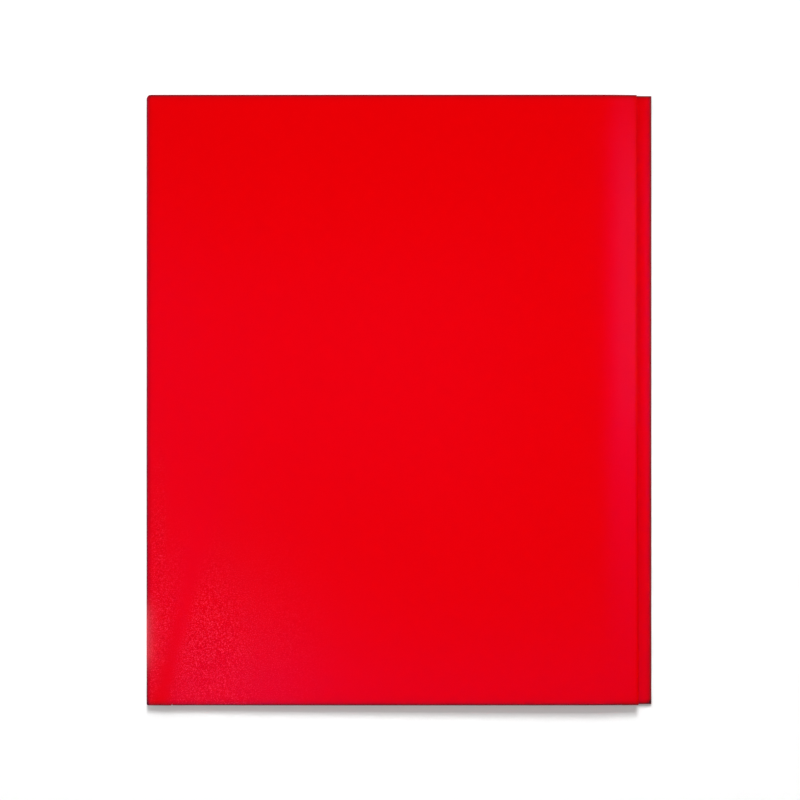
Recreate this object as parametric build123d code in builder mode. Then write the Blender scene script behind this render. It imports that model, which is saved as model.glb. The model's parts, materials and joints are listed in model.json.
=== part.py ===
"""Two pocket folder of polypropylene sheet, closed and empty, lying on its back cover.

Millimetres and degrees. +Z is up, +Y runs along the spine to the top edge and +X runs from the spine to the
free edges. The origin is under the middle of the closed folder.

One die-cut sheet makes the whole folder: back cover, spine and front cover joined by two pressed creases, and
two pockets folded up from the bottom edge and spot welded along the outer edge. The folder is empty, so the
spine lies flat beside the back cover and the front crease is rolled right over.
"""

from build123d import *
import os
from math import cos, radians, sin

# Covers and spine
cover_width = 235.4  # crease to free edge
cover_height = 292.1  # bottom fold to top edge
spine_width = 6.75  # from crease to crease, seen flat
sheet = 0.45  # thickness of the polypropylene
cover_spring = 0.5  # angle by which the closed front cover stands off the back cover
edge_skew = 0.96  # by which the front free edge runs out of square, top to bottom
top_corner = 2.2  # radius of the sheet's corners at the top end of a crease
bottom_corner = 0.6  # the same at the bottom end of the front crease

# Creases
crease_width = 2.0  # pressed line between back cover and spine
crease_depth = 0.23  # by which pressing thins the sheet

# Pockets
pocket_height = 108.0  # bottom fold to pocket mouth
pocket_inset = 11.0  # cover panel's crease edge to the pocket's inner edge, at the bottom
pocket_slant = 6.0  # by which that edge leans outwards at the mouth
pocket_corner = 8.0  # radius of the mouth's inner corner
pocket_setback = 8.0  # cover's free edge to the pocket's outer edge
pocket_gap = 0.3  # cover to pocket, held open by the bottom fold
pocket_play = 0.4  # pocket to pocket beside the spine, folder closed
fold_notch = 0.3  # relief cut in the cover at each end of the bottom fold
flex_play = 0.1  # slit round the pocket panel, where the real sheet flexes

# Welds
weld_margin = 7.0  # strip of the pocket that is welded down
weld_diameter = 2.6
weld_pitch = 8.0
weld_end = 8.0  # first weld to the end of the margin

# Card slits in the back pocket
card_width = 89.0
card_height = 51.0
slit_length = 17.0
slit_width = 0.8
slit_reach = 9.0  # card corner to slit, along each side of the card

# Places that follow from the sizes above
cover_gap = 2 * (sheet + pocket_gap) + pocket_play  # cover to cover beside the spine
inner_roll = cover_gap / 2  # radius of the rolled front crease, inside
crease_roll = inner_roll + sheet  # and outside
pocket_roll = sheet + pocket_gap / 2  # outer radius of a pocket's bottom fold
left = -(cover_width + spine_width) / 2
top = cover_height / 2
bottom = -cover_height / 2
fold_line = bottom + pocket_roll  # where cover and bottom fold meet
pocket_top = bottom + pocket_height
roll_x = left + crease_roll
roll_turn = 180 - cover_spring
back_crease_x = left + spine_width
cut_reach = 2 * crease_roll + sheet  # further than any cover lies from the table at the spine

# Each cover is drawn on its own plane, with x counted from the panel's edge at the crease
back_plane = Plane((back_crease_x + crease_width / 2, 0, 0))
front_plane = Plane(Location((roll_x, 0, crease_roll), (0, -cover_spring, 0)))
back_panel_width = cover_width - crease_width / 2
front_panel_width = cover_width - crease_roll

# Under faces of each side's pocket gap and pocket panel
back_gap_plane = back_plane.offset(sheet)
back_pocket_plane = back_plane.offset(sheet + pocket_gap)
front_gap_plane = front_plane.offset(inner_roll - pocket_gap)
front_pocket_plane = front_plane.offset(inner_roll - pocket_gap - sheet)


def corner_relief(crease_x, sides, end, radius):
    """What is cut from one end of a crease to leave a quarter circle on each listed side of it."""
    end_y = end * cover_height / 2
    with BuildSketch() as relief:
        with Locations((crease_x, end_y)):
            Rectangle(2 * radius, 2 * radius)
        with Locations(*[(crease_x + side * radius, end_y - end * radius) for side in sides]):
            Circle(radius, mode=Mode.SUBTRACT)
    return relief.sketch


def cover_outline(plane, width, skew):
    """Cover panel: between its bottom corners the edge steps back to the line where the pocket folds up."""
    inner_notch = pocket_inset - fold_notch
    outer_notch = width - pocket_setback + fold_notch
    with BuildSketch(plane) as outline:
        with BuildLine():
            Polyline(
                (0, bottom),
                (inner_notch, bottom),
                (inner_notch, fold_line),
                (outer_notch, fold_line),
                (outer_notch, bottom),
                (width + skew / 2, bottom),
                (width - skew / 2, top),
                (0, top),
                close=True,
            )
        make_face()
    return outline.sketch


def pocket_outline(plane, width):
    """Pocket panel: its inner edge leans outwards and runs into the mouth in a round corner."""
    outer = width - pocket_setback - weld_margin - flex_play
    with BuildSketch(plane) as outline:
        with BuildLine():
            Polyline(
                (pocket_inset, fold_line + flex_play),
                (outer, fold_line + flex_play),
                (outer, pocket_top),
                (pocket_inset + pocket_slant, pocket_top),
                close=True,
            )
        make_face()
        mouth_corner = outline.vertices().group_by(Axis.Y)[-1].sort_by(Axis.X)[0]
        fillet(mouth_corner, pocket_corner)
    return outline.sketch


def card_slits(plane, width):
    """Four diagonal slits that take the corners of a card in the middle of a pocket."""
    centre_x = (pocket_inset + pocket_slant + width - pocket_setback - weld_margin) / 2
    centre_y = (fold_line + pocket_top) / 2
    with BuildSketch(plane) as slits:
        for side in (-1, 1):
            for end in (-1, 1):
                slit_x = centre_x + side * (card_width - slit_reach) / 2
                slit_y = centre_y + end * (card_height - slit_reach) / 2
                with Locations((slit_x, slit_y)):
                    SlotOverall(slit_length, slit_width, rotation=-45 * side * end)
    return slits.sketch


def fold_profile(plane):
    """Half ring across the bend that turns a cover's bottom edge up into its pocket."""
    axis_point = plane.from_local_coords((pocket_inset, fold_line, pocket_gap / 2))
    inside = pocket_gap / 2
    with BuildSketch(Plane(axis_point, x_dir=plane.y_dir, z_dir=plane.x_dir)) as profile:
        with BuildLine():
            CenterArc((0, 0), pocket_roll, 90, 180)
            Line((0, -pocket_roll), (0, -inside))
            CenterArc((0, 0), inside, 270, -180)
            Line((0, inside), (0, pocket_roll))
        make_face()
    return profile.sketch


def margin_outline(plane, width):
    """Outer strip of a pocket, which the welds hold down."""
    with BuildSketch(plane) as outline:
        with Locations((width - pocket_setback - weld_margin / 2, (fold_line + pocket_top) / 2)):
            Rectangle(weld_margin, pocket_top - fold_line)
    return outline.sketch


def weld_row(plane, width):
    """Spot welds along the middle of a margin."""
    count = 1 + int((pocket_top - fold_line - 2 * weld_end) / weld_pitch)
    with BuildSketch(plane) as spots:
        with Locations((width - pocket_setback - weld_margin / 2, (fold_line + pocket_top) / 2)):
            with GridLocations(weld_margin, weld_pitch, 1, count):
                Circle(weld_diameter / 2)
    return spots.sketch


def on_roll(radius, angle):
    """Point in the XZ plane round the front crease's axis, the angle counted from straight down."""
    return (roll_x - radius * sin(radians(angle)), crease_roll - radius * cos(radians(angle)))


# The sheet's relieved corners at the ends of the two creases
front_top_relief = corner_relief(left, (1,), 1, top_corner)
front_bottom_relief = corner_relief(left, (1,), -1, bottom_corner)

# Back cover, flat on the table
with BuildPart() as back_cover:
    extrude(cover_outline(back_plane, back_panel_width, skew=0), amount=sheet)
    extrude(corner_relief(back_crease_x, (1,), 1, top_corner), amount=cut_reach, mode=Mode.SUBTRACT)

# Spine, flat beside the back cover
with BuildPart() as spine:
    with BuildSketch():
        with Locations((roll_x, 0)):
            Rectangle(
                spine_width - crease_roll - crease_width / 2,
                cover_height,
                align=(Align.MIN, Align.CENTER),
            )
    extrude(amount=sheet)
    extrude(front_top_relief, amount=cut_reach, mode=Mode.SUBTRACT)
    extrude(front_bottom_relief, amount=cut_reach, mode=Mode.SUBTRACT)
    extrude(corner_relief(back_crease_x, (-1,), 1, top_corner), amount=cut_reach, mode=Mode.SUBTRACT)

# Front cover, its free edge a little out of square
with BuildPart() as front_cover:
    extrude(cover_outline(front_plane.offset(inner_roll), front_panel_width, edge_skew), amount=sheet)
    extrude(front_top_relief, amount=cut_reach, mode=Mode.SUBTRACT)
    extrude(front_bottom_relief, amount=cut_reach, mode=Mode.SUBTRACT)

# Back crease, a trough pressed into the inner face
with BuildPart() as back_crease:
    crease_start = back_crease_x - crease_width / 2
    crease_end = back_crease_x + crease_width / 2
    with BuildSketch(Plane.XZ):
        with BuildLine():
            Polyline((crease_start, sheet), (crease_start, 0), (crease_end, 0), (crease_end, sheet))
            ThreePointArc((crease_end, sheet), (back_crease_x, sheet - crease_depth), (crease_start, sheet))
        make_face()
    extrude(amount=cover_height / 2, both=True)
    extrude(corner_relief(back_crease_x, (-1, 1), 1, top_corner), amount=cut_reach, mode=Mode.SUBTRACT)

# Front crease, rolled over from the spine into the front cover and thinnest at the fold
with BuildPart() as front_crease:
    thin_roll = inner_roll + crease_depth
    with BuildSketch(Plane.XZ):
        with BuildLine():
            ThreePointArc(
                on_roll(crease_roll, 0), on_roll(crease_roll, roll_turn / 2), on_roll(crease_roll, roll_turn)
            )
            Line(on_roll(crease_roll, roll_turn), on_roll(inner_roll, roll_turn))
            ThreePointArc(
                on_roll(inner_roll, roll_turn), on_roll(thin_roll, roll_turn / 2), on_roll(inner_roll, 0)
            )
            Line(on_roll(inner_roll, 0), on_roll(crease_roll, 0))
        make_face()
    extrude(amount=cover_height / 2, both=True)
    extrude(front_top_relief, amount=cut_reach, mode=Mode.SUBTRACT)
    extrude(front_bottom_relief, amount=cut_reach, mode=Mode.SUBTRACT)

# Back pocket, with a slit for each corner of a card
with BuildPart() as back_pocket:
    extrude(pocket_outline(back_pocket_plane, back_panel_width), amount=sheet)
    extrude(card_slits(back_pocket_plane, back_panel_width), amount=sheet, mode=Mode.SUBTRACT)

# Front pocket, the same panel without slits
with BuildPart() as front_pocket:
    extrude(pocket_outline(front_pocket_plane, front_panel_width), amount=sheet)

# Bottom folds, as long as pocket and margin together
with BuildPart() as back_pocket_fold:
    extrude(fold_profile(back_gap_plane), amount=back_panel_width - pocket_setback - pocket_inset)

with BuildPart() as front_pocket_fold:
    extrude(fold_profile(front_gap_plane), amount=front_panel_width - pocket_setback - pocket_inset)

# Welded margins
with BuildPart() as back_pocket_margin:
    extrude(margin_outline(back_pocket_plane, back_panel_width), amount=sheet)

with BuildPart() as front_pocket_margin:
    extrude(margin_outline(front_pocket_plane, front_panel_width), amount=sheet)

# Spot welds, which bridge the gap between cover and margin
with BuildPart() as back_pocket_welds:
    extrude(weld_row(back_gap_plane, back_panel_width), amount=pocket_gap)

with BuildPart() as front_pocket_welds:
    extrude(weld_row(front_gap_plane, front_panel_width), amount=pocket_gap)

pieces = {
    "back_cover": back_cover,
    "spine": spine,
    "front_cover": front_cover,
    "back_crease": back_crease,
    "front_crease": front_crease,
    "back_pocket": back_pocket,
    "front_pocket": front_pocket,
    "back_pocket_fold": back_pocket_fold,
    "front_pocket_fold": front_pocket_fold,
    "back_pocket_margin": back_pocket_margin,
    "front_pocket_margin": front_pocket_margin,
    "back_pocket_welds": back_pocket_welds,
    "front_pocket_welds": front_pocket_welds,
}

os.makedirs("parts", exist_ok=True)
for name, piece in pieces.items():
    piece.part.label = name
    export_step(piece.part, f"parts/{name}.step")
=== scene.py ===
"""Looks of a closed two pocket folder in red polypropylene sheet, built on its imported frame."""

import json

import bmesh
import bpy
import numpy as np
from mathutils import Matrix, Vector


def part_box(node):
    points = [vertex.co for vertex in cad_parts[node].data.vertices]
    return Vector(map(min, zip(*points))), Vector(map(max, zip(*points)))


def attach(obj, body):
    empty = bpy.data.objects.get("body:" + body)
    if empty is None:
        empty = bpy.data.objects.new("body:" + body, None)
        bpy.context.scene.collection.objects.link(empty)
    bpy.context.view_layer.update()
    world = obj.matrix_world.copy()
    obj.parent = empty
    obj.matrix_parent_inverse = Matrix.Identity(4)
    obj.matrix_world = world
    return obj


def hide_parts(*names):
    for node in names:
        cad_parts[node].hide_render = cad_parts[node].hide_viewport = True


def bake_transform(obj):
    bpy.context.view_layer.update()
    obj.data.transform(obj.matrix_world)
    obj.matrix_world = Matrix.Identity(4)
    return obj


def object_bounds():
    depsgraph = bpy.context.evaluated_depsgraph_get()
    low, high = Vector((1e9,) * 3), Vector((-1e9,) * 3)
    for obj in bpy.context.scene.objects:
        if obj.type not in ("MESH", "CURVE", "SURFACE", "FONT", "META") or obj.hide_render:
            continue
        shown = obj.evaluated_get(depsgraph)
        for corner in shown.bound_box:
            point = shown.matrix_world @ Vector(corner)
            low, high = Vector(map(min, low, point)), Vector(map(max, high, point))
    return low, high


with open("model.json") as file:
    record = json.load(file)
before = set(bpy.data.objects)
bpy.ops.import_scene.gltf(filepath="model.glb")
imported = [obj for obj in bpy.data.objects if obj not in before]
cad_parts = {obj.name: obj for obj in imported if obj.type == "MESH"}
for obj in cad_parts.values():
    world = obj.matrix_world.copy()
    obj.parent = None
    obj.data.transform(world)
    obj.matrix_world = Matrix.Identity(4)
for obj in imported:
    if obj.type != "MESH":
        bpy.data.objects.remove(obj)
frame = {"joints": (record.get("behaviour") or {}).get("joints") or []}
cad_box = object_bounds()

# Camera: a long lens on a copy stand, above the closed folder and square to its front cover.
# The spine is on the left, and the lens is so far away that the front cover looks hardly larger than the back
# cover under it.
MM = 0.001
joints = {joint["name"]: joint for joint in frame["joints"]}
front_axis = -Vector(joints["front_pocket_gape"]["axis"])
front_normal = Vector((-front_axis.z, 0, front_axis.x))
camera_aim = Vector((0.25 * MM, 0.05 * MM, 3.8 * MM))
camera_distance = 956.2 * MM


def in_scene(name, data):
    """An object of that name with that data, linked to the scene."""
    thing = bpy.data.objects.new(name, data)
    bpy.context.scene.collection.objects.link(thing)
    return thing


camera_data = bpy.data.cameras.new("copy_camera")
camera_data.lens = 90
camera_data.sensor_width = 36
camera = in_scene("copy_camera", camera_data)
camera.location = camera_aim + front_normal * camera_distance
camera.rotation_euler = (0, -np.arctan2(front_axis.z, front_axis.x), 0)
bpy.context.scene.camera = camera
bpy.context.scene.view_settings.view_transform = "Standard"


# Back cover: the half of the die-cut polypropylene blank that lies on the table.
# The die rounds its cut edges a little, and between its bottom corners the edge steps back to the
# line where the pocket folds up. Near the outline the sheet's colour is painted darker, as painted shade.
back_low, back_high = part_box("back_cover")
fold_low, fold_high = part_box("back_pocket_fold")
back_crease_low, back_crease_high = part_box("back_crease")
back_crease_x = (back_crease_low.x + back_crease_high.x) / 2
left = cad_box[0].x
right = cad_box[1].x
bottom = cad_box[0].y
top = cad_box[1].y
sheet = back_high.z - back_low.z
fold_line = fold_high.y
fold_notch, notch_step = 0.3 * MM, 0.01 * MM
top_corner = 2.2 * MM
edge_rounding = 0.16 * MM
edge_lip = 0.12
edge_steps = np.array([0, 0.03, 0.08, 0.16]) * MM
panel_step = 2.4 * MM
crease_side, crease_side_step = 70 * MM, 0.9 * MM
free_side, free_side_step = 40 * MM, 1.2 * MM
sharp_angle = np.radians(50)


def merged(*places):
    """All the given places in rising order, where those that agree to a tenth of a micrometre count once."""
    return np.unique(np.concatenate(places).round(decimals=7))


def stations(*runs):
    """Places in rising order: each run is (first, last, step) of even steps, and shared places count once."""
    return merged(*[np.linspace(a, b, max(2, int(np.ceil(abs(b - a) / step)) + 1)) for a, b, step in runs])


def edge_rows(step):
    """Shares of the folder's height from 0 to 1: even steps of that length, finer by the cut edges."""
    height = top - bottom
    edge, fine = edge_steps[-1], edge_steps[1]
    return stations((0, edge, fine), (edge, height - edge, step), (height - edge, height, fine)) / height


def cut_edge(distance):
    """Share of the sheet's thickness at a distance from a cut edge: a quarter circle that starts from a thin
    lip."""
    inside = np.clip(distance / edge_rounding, 0, 1)
    return np.maximum(np.sqrt(1 - (1 - inside) ** 2), edge_lip)


def corner_drop(distance, radius):
    """How far a rounded corner falls below its straight edge, at a distance along that edge: a quarter
    circle."""
    inside = np.clip(radius - np.abs(distance), 0, radius)
    return radius - np.sqrt(radius**2 - inside**2)


def keep_numbers(mesh, name, numbers):
    """Stores one number for each point of a mesh, under a name that the materials read."""
    stored = mesh.attributes.new(name, "FLOAT", "POINT")
    stored.data.foreach_set("value", numbers.astype(np.float32))


def sheet_piece(name, middle, half, material, hidden=0.0):
    """A closed sheet: the grid of its middle surface moved half a thickness to either side along its normal,
    with a wall of one quad per step round the rim. Each point keeps its distance from the folder's outline,
    and how far it is hidden behind that outline is added."""
    normal = np.cross(np.gradient(middle, axis=0), np.gradient(middle, axis=1))
    normal /= np.linalg.norm(normal, axis=2, keepdims=True)
    offset = normal * half[..., None]
    points = np.concatenate([(middle + offset).reshape(-1, 3), (middle - offset).reshape(-1, 3)])
    count = half.size
    index = np.arange(count).reshape(half.shape)
    corners = [index[:-1, :-1], index[1:, :-1], index[1:, 1:], index[:-1, 1:]]
    face = np.stack(corners, axis=2).reshape(-1, 4)
    loop = np.concatenate([index[:-1, 0], index[-1, :-1], index[:0:-1, -1], index[0, :0:-1]])
    ahead = np.roll(loop, -1)
    wall = np.stack([ahead, loop, loop + count, ahead + count], axis=1)
    mesh = bpy.data.meshes.new(name)
    mesh.from_pydata(points.tolist(), [], np.concatenate([face, face[:, ::-1] + count, wall]).tolist())
    x, y = points[:, 0], points[:, 1]
    # The distance from the outline sets how much painted shade a point gets.
    outline = np.minimum(np.minimum(x - left, right - x), np.minimum(y - bottom, top - y))
    behind = np.tile(np.broadcast_to(hidden, half.shape).ravel(), 2)
    keep_numbers(mesh, "outline_mm", (np.maximum(outline, 0) + behind) / MM)
    mesh.shade_smooth()
    mesh.set_sharp_from_angle(angle=sharp_angle)
    mesh.materials.append(material)
    return in_scene(name, mesh)


def add_node(tree, kind, inputs=(), **settings):
    """One node in a tree, with its own settings and its inputs' starting values by name or number."""
    node = tree.nodes.new(kind)
    for key, value in settings.items():
        setattr(node, key, value)
    for key, value in dict(inputs).items():
        node.inputs[key].default_value = value
    return node


def ramp(tree, low, high, first=0.0, last=1.0):
    """A node that carries the values from low to high over to the values from first to last."""
    names = ("From Min", "From Max", "To Min", "To Max")
    return add_node(tree, "ShaderNodeMapRange", zip(names, (low, high, first, last)))


def new_group(name, inputs, outputs):
    """An empty shader node group with named sockets, and its input and output nodes."""
    tree = bpy.data.node_groups.new(name, "ShaderNodeTree")
    for socket, kind in inputs.items():
        tree.interface.new_socket(socket, in_out="INPUT", socket_type=kind)
    for socket, kind in outputs.items():
        tree.interface.new_socket(socket, in_out="OUTPUT", socket_type=kind)
    return tree, tree.nodes.new("NodeGroupInput"), tree.nodes.new("NodeGroupOutput")


def join(tree, *pairs):
    """Links each pair of sockets in a tree, first the one that gives and then the one that takes."""
    for giver, taker in pairs:
        tree.links.new(giver, taker)


# Sand grain: the fine matt texture that the calender rolls press into the sheet, and its uneven gloss.
# Where a piece asks for painted glints, pale flecks, which are painted glints, and dark pits, which are
# painted grain shade, go on its colour.
cloud_scale = 45.0
noise_middle = 0.5
glint_start, glint_full = 0.56, 0.66
shade_pit_start, shade_pit_full = 0.49, 0.36
grain_group, given, result = new_group(
    "sand_grain",
    dict.fromkeys(("Grain Scale", "Roughness", "Unevenness", "Sparkle", "Painted Glints"), "NodeSocketFloat"),
    dict.fromkeys(("Height", "Roughness", "Glint Flecks", "Shade Pits"), "NodeSocketFloat"),
)
place = add_node(grain_group, "ShaderNodeTexCoord")
grain = add_node(grain_group, "ShaderNodeTexNoise", {"Detail": 1.0})
cloud = add_node(grain_group, "ShaderNodeTexNoise", {"Scale": cloud_scale, "Detail": 2.0})
# Which points get painted glint flecks and grain shade pits comes from a number kept on each point.
glint_zone = add_node(grain_group, "ShaderNodeAttribute", attribute_name="glint_zone")
speck = add_node(grain_group, "ShaderNodeMath", {1: noise_middle}, operation="SUBTRACT")
swing = add_node(grain_group, "ShaderNodeMath", {1: noise_middle}, operation="SUBTRACT")
slow_gloss = add_node(grain_group, "ShaderNodeMath", operation="MULTIPLY_ADD")
fine_gloss = add_node(grain_group, "ShaderNodeMath", operation="MULTIPLY_ADD")
pale = ramp(grain_group, glint_start, glint_full)
dark = ramp(grain_group, shade_pit_start, shade_pit_full)
painted_glints = add_node(grain_group, "ShaderNodeMath", operation="MULTIPLY")
glint_flecks = add_node(grain_group, "ShaderNodeMath", operation="MULTIPLY")
shade_pits = add_node(grain_group, "ShaderNodeMath", operation="MULTIPLY")
join(
    grain_group,
    (place.outputs["Object"], grain.inputs["Vector"]), (place.outputs["Object"], cloud.inputs["Vector"]),
    (given.outputs["Grain Scale"], grain.inputs["Scale"]), (grain.outputs["Fac"], speck.inputs[0]),
    (cloud.outputs["Fac"], swing.inputs[0]), (swing.outputs[0], slow_gloss.inputs[0]),
    (given.outputs["Unevenness"], slow_gloss.inputs[1]), (given.outputs["Roughness"], slow_gloss.inputs[2]),
    (speck.outputs[0], fine_gloss.inputs[0]), (given.outputs["Sparkle"], fine_gloss.inputs[1]),
    (slow_gloss.outputs[0], fine_gloss.inputs[2]), (fine_gloss.outputs[0], result.inputs["Roughness"]),
    (grain.outputs["Fac"], result.inputs["Height"]), (grain.outputs["Fac"], pale.inputs["Value"]),
    (glint_zone.outputs["Fac"], painted_glints.inputs[0]), (given.outputs["Painted Glints"], painted_glints.inputs[1]),
    (pale.outputs[0], glint_flecks.inputs[0]), (painted_glints.outputs[0], glint_flecks.inputs[1]),
    (glint_flecks.outputs[0], result.inputs["Glint Flecks"]), (grain.outputs["Fac"], dark.inputs["Value"]),
    (dark.outputs[0], shade_pits.inputs[0]), (painted_glints.outputs[0], shade_pits.inputs[1]),
    (shade_pits.outputs[0], result.inputs["Shade Pits"]),
)

# Outline shade and highlights: colour of the sheet, mixed towards a dull dark red close to the folder's
# outline but not on the very rim, which is painted shade, and towards a pale pink where a piece asks for a
# painted highlight, a painted glint at the fold or a painted sheen by the free edge.
left_after_reach = 0.37
shade_highlight_group, given, result = new_group(
    "outline_shade_and_highlight",
    {**dict.fromkeys(("Colour", "Outline Shade Colour", "Highlight Colour"), "NodeSocketColor"),
     **dict.fromkeys(("Reach", "Amount"), "NodeSocketFloat")},
    {"Colour": "NodeSocketColor"},
)
distance = add_node(shade_highlight_group, "ShaderNodeAttribute", attribute_name="outline_mm")
steps_in = add_node(shade_highlight_group, "ShaderNodeMath", operation="DIVIDE")
decay = add_node(shade_highlight_group, "ShaderNodeMath", {0: left_after_reach}, operation="POWER")
off_rim = ramp(shade_highlight_group, 0.0, edge_rounding / MM)
outline_shade_share = add_node(shade_highlight_group, "ShaderNodeMath", operation="MULTIPLY")
amount = add_node(shade_highlight_group, "ShaderNodeMath", operation="MULTIPLY")
mixed = add_node(shade_highlight_group, "ShaderNodeMix", data_type="RGBA")
highlight_mask = add_node(shade_highlight_group, "ShaderNodeAttribute", attribute_name="painted_highlight")
painted_highlight = add_node(shade_highlight_group, "ShaderNodeMix", data_type="RGBA")
join(
    shade_highlight_group,
    (distance.outputs["Fac"], steps_in.inputs[0]), (given.outputs["Reach"], steps_in.inputs[1]),
    (steps_in.outputs[0], decay.inputs[1]), (decay.outputs[0], outline_shade_share.inputs[0]),
    (distance.outputs["Fac"], off_rim.inputs["Value"]), (off_rim.outputs[0], outline_shade_share.inputs[1]),
    (outline_shade_share.outputs[0], amount.inputs[0]), (given.outputs["Amount"], amount.inputs[1]),
    (amount.outputs[0], mixed.inputs["Factor"]), (given.outputs["Colour"], mixed.inputs["A"]),
    (given.outputs["Outline Shade Colour"], mixed.inputs["B"]), (mixed.outputs["Result"], painted_highlight.inputs["A"]),
    (given.outputs["Highlight Colour"], painted_highlight.inputs["B"]),
    (highlight_mask.outputs["Fac"], painted_highlight.inputs["Factor"]),
    (painted_highlight.outputs["Result"], result.inputs["Colour"]),
)

# Red polypropylene: the sheet that every piece is made of, dyed through, with a crimson sheen.
# Covers, creases, pockets and welds differ in gloss and in the depth of their grain.
# The dull dark red is painted shade along the folder's outline, the pale pink a painted glint at the fold and
# a painted sheen by the free edge, the pale flecks painted glints and the dark pits painted grain shade where
# the sheen falls.
sheet_red = (0.82, 0.0, 0.0006, 1)
outline_shade_red = (0.03, 0.010, 0.012, 1)
glint_fleck_red = (0.95, 0.044, 0.068, 1)
grain_shade_red = (0.64, 0.0, 0.0006, 1)
highlight_pink = (0.88, 0.125, 0.14, 1)
sheen_tint = (1.0, 0.05, 1.0, 1)
outline_shade_reach_mm, outline_shade_amount = 0.8, 1.25
sparkle = 0.12
sheet_grain = 2200


def red_plastic(name, colour, roughness, grain_scale, grain_depth, painted_glints=0.0, gloss=0.25, unevenness=0.03):
    """Red polypropylene: painted outline shade and painted highlights, painted glint flecks and grain shade
    pits on its colour, grain in its height and roughness, and a crimson sheen."""
    material = bpy.data.materials.new(name)
    material.use_nodes = True
    tree = material.node_tree
    shader = tree.nodes["Principled BSDF"]
    shader.inputs["Specular Tint"].default_value = sheen_tint
    shader.inputs["Specular IOR Level"].default_value = gloss
    tones = {"Colour": colour, "Outline Shade Colour": outline_shade_red, "Highlight Colour": highlight_pink,
             "Reach": outline_shade_reach_mm, "Amount": outline_shade_amount}
    tone = add_node(tree, "ShaderNodeGroup", tones, node_tree=shade_highlight_group)
    grains = {"Grain Scale": grain_scale, "Roughness": roughness, "Unevenness": unevenness,
              "Sparkle": sparkle, "Painted Glints": painted_glints}
    texture = add_node(tree, "ShaderNodeGroup", grains, node_tree=grain_group)
    # Painted grain shade pits and painted glint flecks are mixed into the colour.
    pitted = add_node(tree, "ShaderNodeMix", {"B": grain_shade_red}, data_type="RGBA")
    flecked = add_node(tree, "ShaderNodeMix", {"B": glint_fleck_red}, data_type="RGBA")
    bump = add_node(tree, "ShaderNodeBump", {"Distance": grain_depth, "Strength": 1.0})
    join(
        tree,
        (tone.outputs["Colour"], pitted.inputs["A"]), (texture.outputs["Shade Pits"], pitted.inputs["Factor"]),
        (pitted.outputs["Result"], flecked.inputs["A"]),
        (texture.outputs["Glint Flecks"], flecked.inputs["Factor"]),
        (flecked.outputs["Result"], shader.inputs["Base Color"]),
        (texture.outputs["Roughness"], shader.inputs["Roughness"]),
        (texture.outputs["Height"], bump.inputs["Height"]), (bump.outputs["Normal"], shader.inputs["Normal"]),
    )
    return material


cover_red = red_plastic("cover_red", sheet_red, roughness=0.2, grain_scale=sheet_grain,
                        grain_depth=0.006 * MM, painted_glints=0.78)


def cover_piece(name, columns, fold_span, lower, upper, free_edge, place_at):
    """A cover panel: columns of reach from the crease, stretched to its slanting free edge, by rows between a
    lower and an upper edge. Half its thickness is rounded off at the cut edges, and full at the creases and
    the fold."""
    in_fold = (columns > fold_span[0]) & (columns < fold_span[1])
    low = np.where(in_fold, fold_line, lower)
    y = low[:, None] + (upper - low)[:, None] * edge_rows(panel_step)
    reach_end = free_edge(y)
    reach = columns[:, None] * reach_end / columns[-1]
    bottom_cut = np.where(in_fold[:, None], edge_rounding, y - low[:, None])
    from_cut = np.minimum(np.minimum(reach_end - reach, upper[:, None] - y), bottom_cut)
    return sheet_piece(name, place_at(reach, y), sheet / 2 * cut_edge(from_cut), cover_red)


def cover_columns(width, fold_span):
    """Reaches across a cover: close together by the crease and the free edge, with a step at each end of the
    fold."""
    inner, outer = fold_span
    panel = stations(
        (0, crease_side, crease_side_step), (crease_side, width - free_side, panel_step),
        (width - free_side, width - edge_steps[-1], free_side_step),
    )
    notches = [inner - notch_step, inner + notch_step, outer - notch_step, outer + notch_step]
    return merged(panel, width - edge_steps, notches)


back_width = back_high.x - back_low.x
curl_reach = 6 * MM
curl_slope = 0.055


def back_place(reach, y):
    """Back cover's middle surface: the flat plane half a sheet above the table, from the crease to the free
    edge, where the die has curled it down along a parabola."""
    curl = curl_slope / (2 * curl_reach) * np.maximum(reach - back_width + curl_reach, 0) ** 2
    return np.stack([back_low.x + reach, y, sheet / 2 - curl], axis=2)


back_fold_span = (fold_low.x - back_low.x - fold_notch, fold_high.x - back_low.x + fold_notch)
back_columns = cover_columns(back_width, back_fold_span)
back_cover = cover_piece(
    "back_cover_sheet", back_columns, back_fold_span, lower=bottom,
    upper=top - corner_drop(back_low.x + back_columns - back_crease_x, top_corner),
    free_edge=lambda y: np.full_like(y, back_width), place_at=back_place,
)
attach(back_cover, "back_cover")
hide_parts("back_cover")


# Back crease: a line pressed into the inner face, thin enough to bend as a living hinge between back cover
# and spine. Its top end is notched, so that the bent sheet leaves no sharp points there. The press polishes
# it.
crease_depth = 0.23 * MM
crease_lines = 17
strip_step = 4 * MM
crease_red = red_plastic("crease_red", (0.78, 0.0, 0.0012, 1), roughness=0.1, grain_scale=sheet_grain,
                         grain_depth=0.004 * MM, painted_glints=0.9, gloss=0.2)


def strip_piece(name, x, z, half, drop_top, drop_bottom, material):
    """A strip along the spine: a profile of points (x, z) and half thicknesses carried from bottom to top
    edge, where each line of the strip stops short of either edge by its own drop."""
    low = bottom + drop_bottom
    high = top - drop_top
    y = low[:, None] + (high - low)[:, None] * edge_rows(strip_step)
    middle = np.stack(np.broadcast_arrays(x[:, None], y, z[:, None]), axis=2)
    from_cut = np.minimum(y - low[:, None], high[:, None] - y)
    return sheet_piece(name, middle, half[:, None] * cut_edge(from_cut), material)


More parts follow.
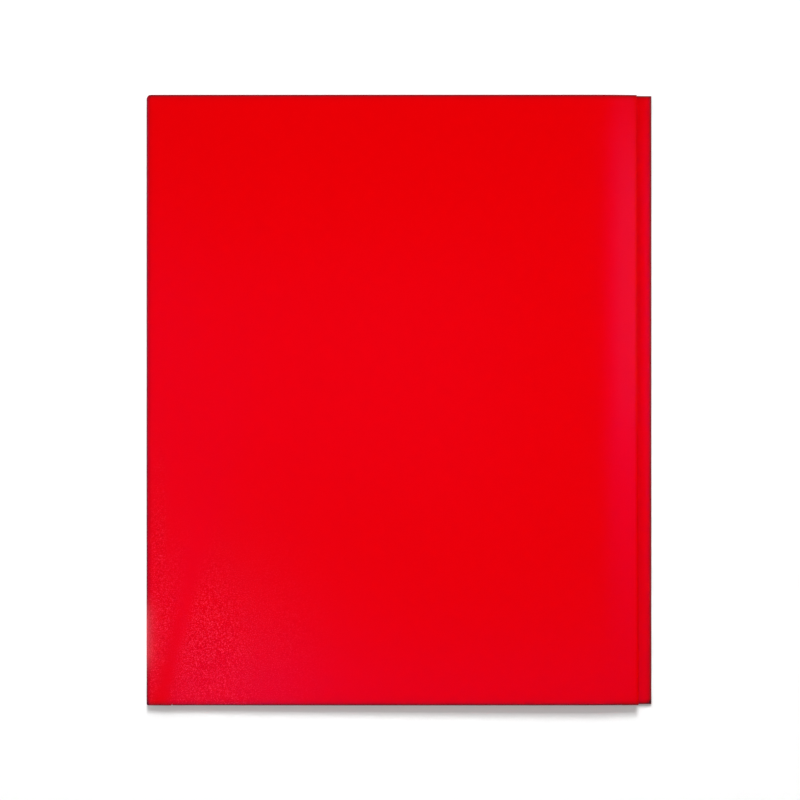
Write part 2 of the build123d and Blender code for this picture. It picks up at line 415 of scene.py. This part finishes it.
crease_width = back_crease_high.x - back_crease_low.x
crease_x = np.linspace(back_crease_low.x, back_crease_high.x, crease_lines)
trough = crease_depth * np.cos(np.pi * (crease_x - back_crease_x) / crease_width) ** 2
back_crease = strip_piece(
    "back_crease_line", crease_x, (sheet - trough) / 2, (sheet - trough) / 2,
    corner_drop(crease_x - back_crease_x, top_corner), np.zeros_like(crease_x), crease_red,
)
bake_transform(back_crease)
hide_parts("back_crease")


# Spine: the narrow strip of the same sheet between the two creases, which holds the covers apart.
# Empty, the folder has no thickness to span, so the spine lies flat on the table. It ends a little short of
# the roll's middle, which leaves room for the opened cover.
spine_low, spine_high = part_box("spine")
spine_room = 0.15 * MM
spine_lines = 9
spine_x = np.linspace(spine_low.x + spine_room, spine_high.x, spine_lines)
spine = strip_piece(
    "spine_strip", spine_x, np.full_like(spine_x, sheet / 2), np.full_like(spine_x, sheet / 2),
    corner_drop(spine_x - back_crease_x, top_corner), np.zeros_like(spine_x), cover_red,
)
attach(spine, "spine")
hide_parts("spine")


# Front crease: the roll that carries the sheet from the spine up and over into the front cover.
# It starts level with the spine, is pressed thin at its outermost line, ends lower than the cover, and is cut
# round at its ends. Near the lower end of this fold a pale pink glint is painted on, a painted highlight.
roll_centre = Vector(joints["cover_open"]["pos_m"])
roll_radius = roll_centre.x - left
roll_middle = roll_radius - sheet / 2
roll_lines = 33
roll_pinch = 6
bottom_corner = 0.6 * MM
fold_dip = 0.36 * MM
roll_turn = np.linspace(-np.pi / 2, np.pi / 2, roll_lines)
pinched_half = sheet / 2 - crease_depth / 2 * np.cos(roll_turn) ** roll_pinch
roll_rise = np.where(roll_turn < 0, roll_middle, roll_middle - fold_dip)
roll_out = (roll_radius - pinched_half) * np.cos(roll_turn)
roll_half = np.insert(pinched_half, 0, sheet / 2)
roll_x = np.insert(roll_centre.x - roll_out, 0, spine_x[0])
roll_z = np.insert(roll_centre.z + roll_rise * np.sin(roll_turn), 0, sheet / 2)
from_left = np.insert(roll_radius * (1 - np.cos(roll_turn)), 0, roll_radius + spine_room)
front_crease = strip_piece(
    "front_crease_roll", roll_x, roll_z, roll_half,
    corner_drop(from_left, top_corner), corner_drop(from_left, bottom_corner), crease_red,
)
# The fold's lower end gets a painted glint in pale pink, fading in from the folded edge.
glint_y, glint_half, glint_depth, glint_amount = -113 * MM, 15 * MM, 1.8 * MM, 0.75


def point_attribute(piece, name, value_at):
    """Gives each point of a piece a number, worked out from its x and y."""
    points = np.empty((len(piece.data.vertices), 3), np.float32)
    piece.data.vertices.foreach_get("co", points.ravel())
    keep_numbers(piece.data, name, value_at(points[:, 0], points[:, 1]))


def soft_stretch(y, middle, half):
    """1 along a stretch to both sides of its middle and 0 beyond, with soft ends: a flattened bell curve."""
    return np.exp(-((y - middle) / half) ** 4)


def fold_glint(x, y):
    """How much painted glint the sheet has: fades inwards from the folded edge, along a short stretch with
    soft ends.
    """
    stretch = soft_stretch(y, glint_y, glint_half)
    return glint_amount * stretch * np.exp((left - x) / glint_depth)


# The roll gets the painted glint, and painted glint flecks and grain shade pits in the same place.
point_attribute(front_crease, "painted_highlight", fold_glint)
point_attribute(front_crease, "glint_zone", fold_glint)
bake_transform(front_crease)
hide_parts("front_crease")


# Front cover: the other half of the blank, sprung up a little towards its free edge.
# The sheet is not quite flat: it dips to the roll along a slanting line, and droops along the free edge.
# Where the sheen falls, by its lower corner and in a streak beside the roll, painted glint flecks and grain
# shade pits go on its colour, and a painted highlight marks the fold and the free edge.
front_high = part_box("front_cover")[1]
front_origin = roll_centre + front_normal * roll_middle
front_width = (front_high.x - roll_centre.x) / front_axis.x
edge_skew = 0.96 * MM
free_edge_trim = 0.3 * MM
bend_slope = np.tan(np.radians(4.2))
bend_from_edge = 17 * MM
bend_softness = 6 * MM
dip_start, dip_slant = 4.9 * MM, 0.244
dip_half, dip_spread = 5.5 * MM, 0.06
wave_height, wave_start = 0.12 * MM, 30 * MM
long_wave_across, long_wave_up = 26, 9
cross_wave_across, cross_wave_up, cross_wave_phase = -12, 17, 1.2


def smooth_step(share):
    """Rises from 0 to 1 with level ends."""
    share = np.clip(share, 0, 1)
    return share * share * (3 - 2 * share)


def dip_share(reach, y):
    """How far across the dip a point lies, from 0 at the roll to 1 on the panel: a smooth step across a line
    that slants away from the roll with height above the bottom edge, and widens with it."""
    height = y - bottom
    middle = dip_start + dip_slant * height
    half = dip_half + dip_spread * height
    return smooth_step((reach - middle + half) / (2 * half))


def front_dip(reach, y):
    """The front cover's fall to the roll, along the slanting line of the dip."""
    return -fold_dip * (1 - dip_share(reach, y))


def front_bow(reach, y):
    """How far the sprung plane is off flat: a blunt bend down along the free edge, as one branch of a
    hyperbola, and two slow waves over the whole panel that start beside the roll."""
    past_bend = reach - front_width + bend_from_edge
    droop = -bend_slope * (past_bend + np.hypot(past_bend, bend_softness)) / 2
    long_wave = np.sin(long_wave_across * reach + long_wave_up * y)
    cross_wave = np.sin(cross_wave_up * y + cross_wave_across * reach + cross_wave_phase)
    return droop + wave_height * (long_wave + cross_wave) * smooth_step(reach / wave_start)


def sprung_place(reach, y, lift):
    """Points of the sprung plane: reach along it from the roll, and a lift along its normal."""
    along = np.array(front_axis)[None, None] * reach[..., None]
    off = np.array(front_normal)[None, None] * lift[..., None]
    return np.array(front_origin) + along + off + y[..., None] * np.array([0.0, 1.0, 0.0])


def front_place(reach, y):
    """Front cover's middle surface: the sprung plane with its bow and the dip to the roll."""
    return sprung_place(reach, y, front_bow(reach, y) + front_dip(reach, y))


def front_pocket_place(reach, y):
    """Where the front pocket's sheet is measured from: the sprung plane with its bow, but without the dip."""
    return sprung_place(reach, y, front_bow(reach, y))


def front_free_edge(y):
    """Reach of the free edge at a height: slightly out of square, longest at the bottom."""
    return front_width - free_edge_trim - edge_skew * (y - bottom) / (top - bottom)


front_fold_low, front_fold_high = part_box("front_pocket_fold")
front_fold_span = tuple(
    (x - roll_centre.x) / front_axis.x + side * fold_notch
    for x, side in ((front_fold_low.x, -1), (front_fold_high.x, 1))
)
front_columns = cover_columns(front_width, front_fold_span)
front_cover = cover_piece(
    "front_cover_sheet", front_columns, front_fold_span,
    lower=bottom + corner_drop(front_columns + roll_radius, bottom_corner),
    upper=top - corner_drop(front_columns + roll_radius, top_corner),
    free_edge=front_free_edge, place_at=front_place,
)
# Where the sheen falls on the front cover, painted glint flecks and grain shade pits go: a spot by the lower
# corner and a streak beside the roll.
spot_reach, spot_y, spot_size = 24 * MM, -118 * MM, 42 * MM
streak_reach, streak_y, streak_amount = 4.5 * MM, -80 * MM, 0.8
streak_width, streak_length = 4 * MM, 42 * MM
slope_loss = 0.8
# A faint painted sheen along the free edge, where the light from the right falls.
edge_sheen_y, edge_sheen_half, edge_sheen_amount = 62 * MM, 75 * MM, 0.027
edge_sheen_depth, edge_sheen_fade = 15 * MM, 8 * MM


def front_glint_zone(x, y):
    """How much painted glint flecks and grain shade pits the front cover gets, from 0 to 1: a round spot near
    the bottom edge and a streak beside the roll, each a bell curve where the sheen falls, with little on the
    slope of the dip, and the painted glint at the fold itself."""
    reach = (x - roll_centre.x) / front_axis.x
    spot = np.exp(-((reach - spot_reach) ** 2 + (y - spot_y) ** 2) / spot_size**2)
    streak = np.exp(-((reach - streak_reach) / streak_width) ** 2 - ((y - streak_y) / streak_length) ** 2)
    across = dip_share(reach, y)
    on_panel = np.maximum(spot, streak_amount * streak) * (1 - 4 * slope_loss * across * (1 - across))
    return np.maximum(on_panel, fold_glint(x, y))


def front_highlights(x, y):
    """How much painted highlight the front cover has: the painted glint at the fold, and a very slight
    painted sheen along the free edge, over a long stretch with soft ends."""
    reach = (x - roll_centre.x) / front_axis.x
    stretch = soft_stretch(y, edge_sheen_y, edge_sheen_half)
    edge_sheen = edge_sheen_amount * stretch * smooth_step((reach - front_width + edge_sheen_depth) / edge_sheen_fade)
    return np.maximum(edge_sheen, fold_glint(x, y))


point_attribute(front_cover, "glint_zone", front_glint_zone)
point_attribute(front_cover, "painted_highlight", front_highlights)
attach(front_cover, "front_cover")
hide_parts("front_cover")


# Pockets: the flap below each cover, folded up against its inner face and welded along its outer margin.
# The inner edge slants and is round at the mouth. The back pocket has four slits that hold a card by its
# corners. The pockets are less glossy than the covers, and evenly so.
pocket_red = red_plastic("pocket_red", sheet_red, roughness=0.27, grain_scale=sheet_grain,
                         grain_depth=0.003 * MM, unevenness=0.0)
pocket_low, pocket_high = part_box("back_pocket")
margin_low, margin_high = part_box("back_pocket_margin")
pocket_mouth = pocket_high.y
pocket_slant = 6 * MM
pocket_corner = 8 * MM
fold_half = (fold_high.z - fold_low.z - sheet) / 2
fold_lines, corner_lines = 15, 13
share_step = 0.012
well_inside = 8 * MM
card_width, card_height = 89 * MM, 51 * MM
slit_length, slit_width, slit_reach = 17 * MM, 0.8 * MM, 9 * MM
slit_end_lines = 9


def pocket_piece(name, inner, outer, place_at, inward):
    """A pocket of one folded strip: rows go round the half circle of the bottom fold and up the panel to the
    mouth, columns go from the slanting inner edge, with its round corner, to the straight outer edge of the
    margin."""
    turn = np.linspace(0, np.pi, fold_lines)[:-1]
    corner = pocket_corner * (1 - np.cos(np.linspace(0, np.pi / 2, corner_lines)))
    panel = stations((pocket_corner, pocket_mouth - fold_line, panel_step))
    from_mouth = merged(corner, edge_steps, panel)[::-1]
    y_row = np.concatenate([fold_line - fold_half * np.sin(turn), pocket_mouth - from_mouth])
    depth = np.concatenate([fold_half * (1 - np.cos(turn)), np.full_like(from_mouth, 2 * fold_half)])
    climb = np.clip((y_row - fold_line) / (pocket_mouth - fold_line), 0, 1)
    inner_row = inner + pocket_slant * climb + corner_drop(pocket_mouth - y_row, pocket_corner)
    edge_shares = edge_steps / (outer - inner)
    share = np.unique(np.concatenate([stations((0, 1, share_step)), edge_shares, 1 - edge_shares]))
    reach = inner_row + (outer - inner_row) * share[:, None]
    y = np.broadcast_to(y_row, reach.shape)
    middle = place_at(reach, y) + depth[None, :, None] * np.array(inward)
    from_cut = np.minimum(np.minimum(reach - inner_row, outer - reach), pocket_mouth - y)
    # Deep in the pocket, points count as far from the outline, so they get no painted outline shade.
    hidden = well_inside * np.clip(depth / fold_half - 1, 0, 1)
    return sheet_piece(name, middle, sheet / 2 * cut_edge(from_cut), pocket_red, hidden)


def slit_cutter(centre, level):
    """Four slots with round ends, one across each corner of a card, as upright prisms through the pocket's
    level."""
    turn = np.linspace(-np.pi / 2, np.pi / 2, slit_end_lines)
    end_cap = np.stack([np.cos(turn), np.sin(turn)], axis=1) * slit_width / 2
    end_cap[:, 0] += (slit_length - slit_width) / 2
    slot = np.concatenate([end_cap, -end_cap])
    side = np.array([-1, -1, 1, 1])
    end = np.array([-1, 1, -1, 1])
    angle = -np.pi / 4 * side * end
    from_centre = [side * (card_width - slit_reach) / 2, end * (card_height - slit_reach) / 2]
    middle = np.stack(from_centre, axis=1) + centre
    along = np.stack([np.cos(angle), np.sin(angle)], axis=1)
    across = np.stack([-np.sin(angle), np.cos(angle)], axis=1)
    flat = middle[:, None] + slot[None, :, :1] * along[:, None] + slot[None, :, 1:] * across[:, None]
    slits, count = flat.shape[:2]
    low, high = [
        np.concatenate([flat, np.full((slits, count, 1), z)], axis=2) for z in (level - sheet, level + sheet)
    ]
    first = 2 * count * np.arange(slits)[:, None]
    ring = np.arange(count)
    ahead = np.roll(ring, -1)
    walls = np.stack([ring, ahead, ahead + count, ring + count], axis=1)[None] + first[..., None]
    lids = np.concatenate([ring[None, ::-1] + first, ring[None] + count + first])
    mesh = bpy.data.meshes.new("slit_cutter")
    mesh.from_pydata(np.concatenate([low, high], axis=1).reshape(-1, 3).tolist(), [],
                     walls.reshape(-1, 4).tolist() + lids.tolist())
    return in_scene("slit_cutter", mesh)


def cut_away(piece, cutter):
    """Takes the cutter's volume out of a piece for good, and removes the cutter."""
    cut = piece.modifiers.new("slits", "BOOLEAN")
    cut.object = cutter
    cut.solver = "EXACT"
    bpy.context.view_layer.update()
    finished = bpy.data.meshes.new_from_object(piece.evaluated_get(bpy.context.evaluated_depsgraph_get()))
    piece.modifiers.clear()
    piece.data = finished
    piece.data.set_sharp_from_angle(angle=sharp_angle)
    bpy.data.objects.remove(cutter)


back_pocket = pocket_piece("back_pocket_sheet", pocket_low.x - back_low.x, margin_high.x - back_low.x,
                           back_place, inward=(0, 0, 1))
card_centre = ((pocket_low.x + pocket_slant + margin_low.x) / 2, (fold_line + pocket_mouth) / 2)
cut_away(back_pocket, slit_cutter(np.array(card_centre), (pocket_low.z + pocket_high.z) / 2))
front_pocket = pocket_piece("front_pocket_sheet", front_fold_span[0] + fold_notch,
                            front_fold_span[1] - fold_notch, front_pocket_place, inward=-front_normal)
pockets = (
    ("back", back_pocket, margin_low.x, pocket_low.x),
    ("front", front_pocket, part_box("front_pocket_margin")[0].x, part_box("front_pocket")[0].x),
)
for side, pocket, welded_x, free_x in pockets:
    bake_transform(pocket)
    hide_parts(f"{side}_pocket", f"{side}_pocket_fold", f"{side}_pocket_margin")


# Spot welds: a row of small round melts along each pocket's margin, pressed by a hot pin from the pocket
# side. The pin leaves a raised bead round a shallow, shiny dish, and the melt holds margin and cover
# together.
weld_red = red_plastic("weld_red", (0.72, 0.0, 0.0006, 1), roughness=0.14, grain_scale=2600,
                       grain_depth=0.004 * MM)
weld_radius = 1.3 * MM
weld_pitch = 8 * MM
weld_count = 12
weld_sides = 24
melt_radii = np.array([0, 1, 1, 1.12, 1.0, 0.85, 0.7, 0.52, 0.3, 0]) * weld_radius
bead_heights = np.array([-0.05, 0, 0.07, 0.09, 0.06, 0.03, 0.02, 0.02]) * MM
merge_distance = 0.001 * MM


def weld_row(name, reach, place_at, inward):
    """Welds as one turned profile, repeated along the margin: from the cover's inner face out round the gap,
    up through the margin, over the bead and down into the dish, measured from the cover's middle surface."""
    face = 2 * fold_half + sheet / 2
    depth = np.concatenate([[sheet / 2, sheet / 2], face + bead_heights])
    turn = np.linspace(0, 2 * np.pi, weld_sides + 1)[:-1]
    centre = (fold_line + pocket_mouth) / 2 + weld_pitch * (np.arange(weld_count) - (weld_count - 1) / 2)
    circle_x = reach + melt_radii[:, None] * np.cos(turn)
    circle_y = melt_radii[:, None] * np.sin(turn)
    all_x = np.broadcast_to(circle_x, (weld_count,) + circle_x.shape)
    all_y = centre[:, None, None] + circle_y
    shape = (weld_count * len(melt_radii), weld_sides)
    on_cover = place_at(all_x.reshape(shape), all_y.reshape(shape))
    points = on_cover + np.tile(depth, weld_count)[:, None, None] * np.array(inward)
    index = np.arange(all_y.size).reshape(all_y.shape)
    ahead = np.roll(index, -1, axis=2)
    quads = np.stack([index[:, :-1], ahead[:, :-1], ahead[:, 1:], index[:, 1:]], axis=3).reshape(-1, 4)
    mesh = bpy.data.meshes.new(name)
    mesh.from_pydata(points.reshape(-1, 3).tolist(), [], quads.tolist())
    shell = bmesh.new()
    shell.from_mesh(mesh)
    bmesh.ops.remove_doubles(shell, verts=shell.verts, dist=merge_distance)
    bmesh.ops.recalc_face_normals(shell, faces=shell.faces)
    shell.to_mesh(mesh)
    shell.free()
    # Welds count as well inside the outline, so they get no painted outline shade.
    keep_numbers(mesh, "outline_mm", np.full(len(mesh.vertices), well_inside / MM))
    mesh.shade_smooth()
    mesh.materials.append(weld_red)
    return in_scene(name, mesh)


margin_middle = (margin_high.x - margin_low.x) / 2
back_welds = weld_row("back_weld_marks", margin_high.x - back_low.x - margin_middle, back_place, (0, 0, 1))
front_welds = weld_row("front_weld_marks", front_fold_span[1] - fold_notch - margin_middle, front_place,
                       -front_normal)
for side, welds in (("back", back_welds), ("front", front_welds)):
    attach(welds, f"{side}_cover")
    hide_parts(f"{side}_pocket_welds")


# Table and lights: a white table under a far softbox behind the top edge, with weak lights overhead for the
# sheen. The table is white to the lens and in reflections, far out too, and keeps the folder's shadow from
# the softbox.
table_drop = 1.0 * MM
table_size = 4.0
near_folder, far_out = 0.2, 2.2
glow_near, glow_far = 0.175, 0.8
table_mesh = bpy.data.meshes.new("table")
table_corners = np.array([[-1, -1, 0], [1, -1, 0], [1, 1, 0], [-1, 1, 0]]) * table_size
table_mesh.from_pydata((table_corners - [0, 0, table_drop]).tolist(), [], [[0, 1, 2, 3]])
table = in_scene("table", table_mesh)

table_white = bpy.data.materials.new("table_white")
table_white.use_nodes = True
tree = table_white.node_tree
tree.nodes.clear()
white = add_node(tree, "ShaderNodeBsdfDiffuse", {"Color": (0.94, 0.94, 0.94, 1)})
glow = add_node(tree, "ShaderNodeEmission")
on_table = add_node(tree, "ShaderNodeTexCoord")
from_folder = add_node(tree, "ShaderNodeVectorMath", operation="LENGTH")
farther_out = ramp(tree, near_folder, far_out, glow_near, glow_far)
ray = add_node(tree, "ShaderNodeLightPath")
seen = add_node(tree, "ShaderNodeMath", operation="MAXIMUM")
seen_at_all = add_node(tree, "ShaderNodeMath", operation="MAXIMUM")
lit = add_node(tree, "ShaderNodeAddShader")
choice = add_node(tree, "ShaderNodeMixShader")
surface = add_node(tree, "ShaderNodeOutputMaterial")
join(
    tree,
    (ray.outputs["Is Camera Ray"], seen.inputs[0]), (ray.outputs["Is Glossy Ray"], seen.inputs[1]),
    (seen.outputs[0], seen_at_all.inputs[0]), (ray.outputs["Is Transmission Ray"], seen_at_all.inputs[1]),
    (on_table.outputs["Object"], from_folder.inputs[0]),
    (from_folder.outputs["Value"], farther_out.inputs["Value"]),
    (farther_out.outputs[0], glow.inputs["Strength"]),
    (white.outputs[0], lit.inputs[0]), (glow.outputs[0], lit.inputs[1]),
    (seen_at_all.outputs[0], choice.inputs[0]), (white.outputs[0], choice.inputs[1]),
    (lit.outputs[0], choice.inputs[2]), (choice.outputs[0], surface.inputs["Surface"]),
)
table_mesh.materials.append(table_white)


def softbox(name, place, aim, size, radiance, spread=180, mirrored=True):
    """A rectangular lamp at a place, facing a point, its first side level along X, with the watts that give
    its face that radiance. A spread below 180 degrees narrows its beam, and one that is not mirrored lights
    the folder without a reflection of itself."""
    lamp = bpy.data.lights.new(name, "AREA")
    lamp.shape = "RECTANGLE"
    lamp.size, lamp.size_y = size
    lamp.energy = radiance * np.pi * size[0] * size[1]
    lamp.spread = np.radians(spread)
    back = (Vector(place) - Vector(aim)).normalized()
    rise = back.cross(Vector((1, 0, 0))).normalized()
    turn = Matrix((rise.cross(back), rise, back)).transposed().to_4x4()
    holder = in_scene(name, lamp)
    holder.matrix_world = Matrix.Translation(place) @ turn
    holder.visible_camera = False
    holder.visible_glossy = mirrored


softbox("key_softbox", (0, 4.596, 3.857), (0, 0, 0), (2.3, 2.7), radiance=18, mirrored=False)
softbox("snoot", (0.012, 1.127, 0.968), (0.012, -0.022, 0.004), (0.36, 0.16), radiance=0.44, spread=15,
        mirrored=False)
softbox("left_softbox", (-2.83, 0, 2.83), (0, 0, 0), (3.4, 3.4), radiance=1.25)
softbox("left_sheen", (-0.35, 0.01, 1.4), (-0.117, 0, 0), (0.06, 0.34), radiance=1.2)
softbox("roll_sheen", (-0.335, -0.28, 1.5), (-0.11, -0.1, 0), (0.05, 0.14), radiance=3.6)
softbox("lower_left_sheen", (-0.215, -0.41, 1.5), (-0.09, -0.15, 0), (0.09, 0.16), radiance=3.1)
softbox("bottom_sheen", (0.06, -0.42, 1.5), (0, -0.15, 0), (0.7, 0.16), radiance=0.9)
softbox("right_sheen", (0.457, 0.11, 1.4), (0.1, 0.04, 0), (0.06, 0.46), radiance=4.6)
softbox("right_sheen_low", (0.457, -0.25, 1.4), (0.1, -0.1, 0), (0.06, 0.26), radiance=1.6)
softbox("ceiling_glow", (-0.07, 0.02, 0.9), (-0.07, 0.02, 0), (0.33, 0.23), radiance=0.2)

# Room: pale walls low down round the table, which the sheet mirrors at a flat angle.
# Higher up it is dark, so that the sheet keeps its deep red when it is seen from above.
wall_foot, wall_top = 0.05, 0.22
wall_light, ceiling_light = 1.0, 0.02
studio = bpy.data.worlds.new("studio")
bpy.context.scene.world = studio
studio.use_nodes = True
tree = studio.node_tree
background = tree.nodes["Background"]
direction = add_node(tree, "ShaderNodeTexCoord")
parts_of = add_node(tree, "ShaderNodeSeparateXYZ")
walls = ramp(tree, wall_foot, wall_top, wall_light, ceiling_light)
join(
    tree,
    (direction.outputs["Generated"], parts_of.inputs[0]), (parts_of.outputs["Z"], walls.inputs["Value"]),
    (walls.outputs[0], background.inputs["Color"]),
)
